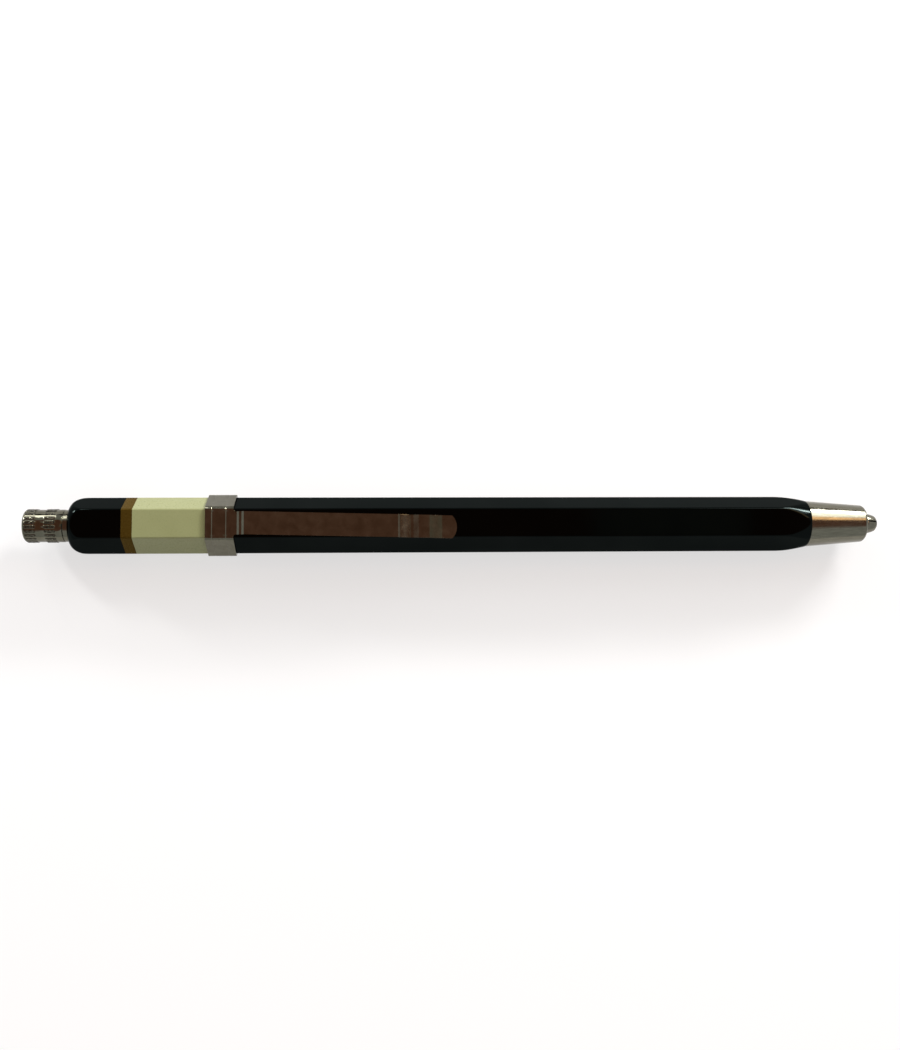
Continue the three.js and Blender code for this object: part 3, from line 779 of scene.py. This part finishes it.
def pointer():
    """Four folded blades that leave one star-shaped tube, and the sleeve that holds them."""
    rear, tip = span("pointer_insert")
    stub_front = span("knob")[1]
    root = stub_front - BLADE_OVERLAP
    slit = stub_front + BLADE_SLIT_START
    wing = np.linspace(0.05, 1, WING_STEPS)
    shares = np.concatenate([-wing[::-1], [0], wing])
    columns = len(shares)

    def blade_row(x, apex, wing, index):
        across = shares * wing * math.sin(BLADE_HALF_ANGLE)
        soft = np.sqrt(across ** 2 + BLADE_RIDGE ** 2)
        radial = apex - soft / math.tan(BLADE_HALF_ANGLE)
        turn = index * 2 * math.pi / BLADE_COUNT
        y = radial * math.cos(turn) - across * math.sin(turn)
        z = radial * math.sin(turn) + across * math.cos(turn)
        return np.stack([np.full(columns, x), y, AXIS + z], axis=1)

    stations = [(root, BLADE_ROOT_APEX, BLADE_ROOT_WING), (slit, BLADE_ROOT_APEX, BLADE_ROOT_WING)]
    spread_from = slit + BLADE_SPREAD_START
    for share in np.linspace(0, 1, BLADE_STEPS):
        x = spread_from + (tip - spread_from) * share
        grown = (x - stub_front) / (tip - stub_front)
        apex = BLADE_ROOT_APEX + (BLADE_TIP_APEX - BLADE_ROOT_APEX) * grown
        wing = BLADE_ROOT_WING + (BLADE_TIP_WING - BLADE_ROOT_WING) * grown
        stations.append((x, apex, wing))
    for share in (0.5, 0.8, 0.95):
        x, apex, wing = stations[-1]
        rounded = wing * (1.02 - 0.12 * share)
        stations.insert(-1, (tip - BLADE_TIP_ROUND * (1 - share), apex, rounded))
    stations[-1] = (tip, BLADE_TIP_APEX, BLADE_TIP_WING * 0.8)
    stations.sort()
    points = []
    for x, apex, wing in stations:
        points += [blade_row(x, apex, wing, index) for index in range(BLADE_COUNT)]
    row_size = BLADE_COUNT * columns
    faces = []
    for r in range(len(stations) - 1):
        for i in range(row_size):
            in_slit = i % columns == columns - 1
            if in_slit and r > 0:
                continue
            a, b = r * row_size + i, r * row_size + (i + 1) % row_size
            faces.append((a, b, b + row_size, a + row_size))
    leaves = make("pointer_blades", np.concatenate(points), faces,
                  sheet=POINTER_SHEET, edge=BLADE_EDGE)
    dress(leaves, "nickel", "knob", "pointer_insert")
    inner, outer = POINTER_SLEEVE
    sleeve_front = root + BLADE_OVERLAP / 2
    corners = [(rear, inner, 0), (rear, outer, SLEEVE_EDGES[0]),
               (sleeve_front, outer, SLEEVE_EDGES[1]), (sleeve_front, inner, SLEEVE_EDGES[2])]
    dress(turned("pointer_sleeve", corners, count=96), "nickel", "knob", "pointer_insert")


# Clip

def clip_height(x, root):
    """The height of the upper face of the clip arm at a place along it."""
    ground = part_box("clip_band")[1].z
    steps = (0, 0, CLIP_BEND_LIFT, CLIP_BEND_LIFT, CLIP_LIFT)
    runs = [*zip(CLIP_BEND, steps, steps[1:]),
            *((length * mm, low * CLIP_LIFT, high * CLIP_LIFT) for length, low, high in CLIP_END)]
    start = root
    for length, low, high in runs:
        if x <= start + length:
            share = max(x - start, 0) / length
            # Long stretches are almost straight, middling ones straight, short ones S-shaped
            softness = 0.15 if length > 1.5 * mm else 0 if length > 0.9 * mm else 1
            return ground + low + (high - low) * (share + softness * (ease(share) - share))
        start += length
    return ground + runs[-1][2]


def clip_half_width(x, root, tip):
    """Half the width of the strip: filleted at its root and rounded at its tip."""
    half = CLIP_WIDTH / 2
    if x < root + CLIP_FILLET:
        return half + CLIP_FILLET - math.sqrt(CLIP_FILLET ** 2 - (root + CLIP_FILLET - x) ** 2)
    radius = (half ** 2 + CLIP_SAGITTA ** 2) / (2 * CLIP_SAGITTA)
    past = max(x - (tip - radius), 0)
    return min(half, math.sqrt(max(radius ** 2 - past ** 2, 0)))


def clip_stations(root, tip):
    """Places along the strip, close together where it is filleted, bent or rounded."""
    bend = sum(CLIP_BEND)
    stations = list(root + CLIP_FILLET * (1 - np.cos(np.linspace(0.15, math.pi / 2, 9))))
    stations += list(np.linspace(root + CLIP_FILLET, root + bend, 28)[1:])
    end = root + bend
    corner = tip - CLIP_SAGITTA
    for length, low, high in CLIP_END:
        count = 3 if low == high else 4 + int(length * 5)
        stations += list(np.linspace(end, end + length * mm, count + 1)[1:])
        end += length * mm
    stations = [x for x in stations if x < corner - CLIP_LEAST_STEP]
    stations.append(corner)
    stations += list(corner + CLIP_SAGITTA * np.sin(np.linspace(0, CLIP_TIP_TURN, 14)[1:]))
    return stations


def clip():
    """The hexagonal band and the sprung strip that runs on from its top flat, as one sheet."""
    rear = span("clip_band")[0]
    tip = span("clip_arm")[1] - CLIP_SHORT
    root = rear + BAND_LENGTH
    low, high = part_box("clip_band")
    flats = high.z - low.z
    angles = hex_angles(flats, BAND_ROUNDING)
    reach = hex_radius(angles, flats, BAND_ROUNDING)
    rows = [(rear, 0)]
    for line in BAND_LINES:
        for step, depth in LINE_PROFILE:
            rows.append((rear + line + step * LINE_WIDTH, depth * LINE_DEPTH))
    rows.append((root, 0))
    points = [ring(x, reach - depth, angles) for x, depth in rows]
    count = len(angles)
    faces = quads(len(rows), count)
    last = points[-1]
    columns = [i for i in range(count)
               if last[i][2] > AXIS and abs(last[i][1]) <= CLIP_WIDTH / 2 + CLIP_FILLET]
    shares = last[columns][:, 1] / np.abs(last[columns][:, 1]).max()
    drop = high.z - last[columns][:, 2]
    previous = [(len(rows) - 1) * count + i for i in columns]
    total = len(rows) * count
    bend = sum(CLIP_BEND)
    for x in clip_stations(root, tip):
        half = clip_half_width(x, root, tip)
        fade = 1 - smooth(x, root, root + CLIP_FILLET)
        sweep = max(x - root - bend, 0) * CLIP_SWEEP
        points.append(np.stack([np.full(len(columns), x), shares * half - sweep,
                                clip_height(x, root) - drop * fade], axis=1))
        current = list(range(total, total + len(columns)))
        faces += [(previous[i], previous[i + 1], current[i + 1], current[i])
                  for i in range(len(columns) - 1)]
        previous = current
        total += len(columns)
    piece = make("clip_sheet", np.concatenate(points), faces, sheet=CLIP_SHEET, edge=CLIP_EDGE)
    piece.data.materials.append(FINISHES["nickel"])
    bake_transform(piece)
    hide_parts("clip_band", "clip_arm")


# Spring and the pieces that keep their CAD mesh

def return_spring():
    """One wire wound round the lead tube, with a closer turn at either end."""
    rear, front = span("return_spring")
    radius = (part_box("return_spring")[1].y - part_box("return_spring")[0].y) / 2 - SPRING_WIRE
    travel = front - rear - 2 * SPRING_WIRE
    end_rise = 2 * SPRING_WIRE + SPRING_END_GAP
    rings = []
    for step in range(SPRING_TURNS * SPRING_STEPS + 1):
        turn = step / SPRING_STEPS
        if turn < 1:
            rise = end_rise * turn
        elif turn > SPRING_TURNS - 1:
            rise = travel - end_rise * (SPRING_TURNS - turn)
        else:
            rise = end_rise + (travel - 2 * end_rise) * (turn - 1) / (SPRING_TURNS - 2)
        angle = 2 * math.pi * turn
        outward = np.array((0, math.cos(angle), math.sin(angle)))
        centre = np.array((rear + SPRING_WIRE + rise, 0, AXIS)) + radius * outward
        sides = np.arange(WIRE_SIDES) * 2 * math.pi / WIRE_SIDES
        wire = SPRING_WIRE * (np.outer(np.cos(sides), (1, 0, 0)) + np.outer(np.sin(sides), outward))
        rings.append(centre + wire)
    last = (len(rings) - 1) * WIRE_SIDES
    faces = quads(len(rings), WIRE_SIDES)
    faces += [tuple(reversed(range(WIRE_SIDES))), tuple(range(last, last + WIRE_SIDES))]
    piece = make("spring_wire", np.concatenate(rings), faces)
    dress(piece, "spring_steel", "holder", "return_spring")
    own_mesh(piece)


def carried_nodes():
    """The inner pieces keep their CAD mesh and get the finish that the record gives them."""
    for node in ("liner_tube", "reducer_bush", "lead_tube", "spring_stop", "collet_hub"):
        piece = frame["nodes"][node]
        piece.data.materials.clear()
        piece.data.materials.append(FINISHES[finish_of(node)])


body_sections()
nose()
for number in range(JAW_COUNT):
    jaw(number)
lead()
knob_head()
knob_stub()
pusher()
pointer()
clip()
return_spring()
carried_nodes()


# Floor, world, lamps and camera. The world's limits are heights of a view direction of length 1.

FLOOR_SIZE = 6.0
FLOOR_WHITE = 0.9
BACKDROP_SHARE = 0.6
SURROUND = (0.70, 0.725, 0.74)
BOARD = (0.045, 0.04, 0.034)
BOARD_TOP = 0.2
BOARD_EDGE = 0.85
BOARD_FADE = 0.01
CEILING = (0.30, 0.145, 0.10)
CEILING_STARTS = 0.74
CEILING_FULL = 0.79
LAMP_DISTANCE = 0.6
LAMPS = (  # name, azimuth, elevation, size in metres, radiance, color
    ("window", 40, 28, (0.23, 0.34), 6, (1, 1, 1)),
    ("window_strip", 40, 19, (0.22, 0.05), 110, (1, 1, 1)),
    ("side_window", -53, 18, (0.065, 0.08), 130, (1, 1, 1)),
    ("soft_panel", 90, 72, (0.17, 0.105), 0.2, (0.35, 1, 0.95)),
    ("end_window", -25, 26, (0.05, 0.25), 8, (1, 1, 1)),
    ("warm_lamp", 55, 48, (0.2, 0.1), 5, (1, 0.6, 0.3)),
)


def floor_material():
    """Pale paper, whose own white shows in part to the camera and in reflections."""
    material = bpy.data.materials.new("floor_paper")
    material.use_nodes = True
    tree = material.node_tree
    tree.nodes.clear()
    diffuse = tree.nodes.new("ShaderNodeBsdfDiffuse")
    diffuse.inputs["Color"].default_value = (FLOOR_WHITE, FLOOR_WHITE, FLOOR_WHITE, 1)
    glow = tree.nodes.new("ShaderNodeEmission")
    rays = tree.nodes.new("ShaderNodeLightPath")
    seen = rays.outputs["Is Camera Ray"]
    for kind in ("Is Glossy Ray", "Is Transmission Ray"):
        seen = calculate(tree, "MAXIMUM", seen, rays.outputs[kind])
    share = calculate(tree, "MULTIPLY", seen, BACKDROP_SHARE)
    mix = tree.nodes.new("ShaderNodeMixShader")
    tree.links.new(share, mix.inputs[0])
    tree.links.new(diffuse.outputs[0], mix.inputs[1])
    tree.links.new(glow.outputs[0], mix.inputs[2])
    output = tree.nodes.new("ShaderNodeOutputMaterial")
    tree.links.new(mix.outputs[0], output.inputs["Surface"])
    return material


def floor():
    mesh = bpy.data.meshes.new("floor")
    half = FLOOR_SIZE / 2
    corners = [(-half, -half, 0), (half, -half, 0), (half, half, 0), (-half, half, 0)]
    mesh.from_pydata(corners, [], [(0, 1, 2, 3)])
    piece = bpy.data.objects.new("floor", mesh)
    bpy.context.scene.collection.objects.link(piece)
    mesh.materials.append(floor_material())


def world():
    """A low dark board straight behind the holder, a pale surround and a dim warm ceiling."""
    scene_world = bpy.data.worlds.new("studio")
    bpy.context.scene.world = scene_world
    scene_world.use_nodes = True
    tree = scene_world.node_tree
    direction = tree.nodes.new("ShaderNodeTexCoord")
    split = tree.nodes.new("ShaderNodeSeparateXYZ")
    tree.links.new(direction.outputs["Generated"], split.inputs[0])
    beside = calculate(tree, "SUBTRACT", BOARD_TOP + BOARD_EDGE, split.outputs["Y"])
    beside = calculate(tree, "MINIMUM", beside, (BOARD_TOP + CEILING_STARTS) / 2)
    height = calculate(tree, "MAXIMUM", split.outputs["Z"], beside)
    ramp = tree.nodes.new("ShaderNodeValToRGB")
    tree.links.new(height, ramp.inputs[0])
    stops = [(0, BOARD), (BOARD_TOP, BOARD), (BOARD_TOP + BOARD_FADE, SURROUND),
             (CEILING_STARTS, SURROUND), (CEILING_FULL, CEILING)]
    for position, _ in stops[2:]:
        ramp.color_ramp.elements.new(position)
    for stop, (position, color) in zip(ramp.color_ramp.elements, stops):
        stop.position = position
        stop.color = (*color, 1)
    tree.links.new(ramp.outputs["Color"], tree.nodes["Background"].inputs["Color"])


def lamp(name, azimuth, elevation, size, radiance, color):
    """A panel that faces the holder, seen from it at an azimuth from +Y towards +X."""
    turn, rise = math.radians(azimuth), math.radians(elevation)
    level = math.cos(rise)
    place = LAMP_DISTANCE * Vector((math.sin(turn) * level, math.cos(turn) * level, math.sin(rise)))
    data = bpy.data.lights.new(name, "AREA")
    data.shape = "RECTANGLE"
    data.size, data.size_y = size
    data.energy = radiance * math.pi * size[0] * size[1]
    data.color = color
    piece = bpy.data.objects.new(name, data)
    bpy.context.scene.collection.objects.link(piece)
    piece.location = place
    piece.rotation_euler = (-place).to_track_quat("-Z", "Y").to_euler()
    piece.visible_camera = False


def camera():
    data = bpy.data.cameras.new("photo_camera")
    data.sensor_fit = "HORIZONTAL"
    data.sensor_width = SENSOR_WIDTH
    data.lens = CAMERA_LENS
    data.clip_start = 0.001
    piece = bpy.data.objects.new("photo_camera", data)
    bpy.context.scene.collection.objects.link(piece)
    turn = (Matrix.Rotation(CAMERA_ROLL, 3, "Z") @ Matrix.Rotation(CAMERA_PITCH, 3, "X")
            @ Matrix.Rotation(CAMERA_YAW, 3, "Y"))
    piece.matrix_world = Matrix.Translation(CAMERA_PLACE) @ turn.transposed().to_4x4()
    bpy.context.scene.camera = piece


floor()
world()
for row in LAMPS:
    lamp(*row)
camera()
bpy.context.scene.view_settings.view_transform = "Standard"
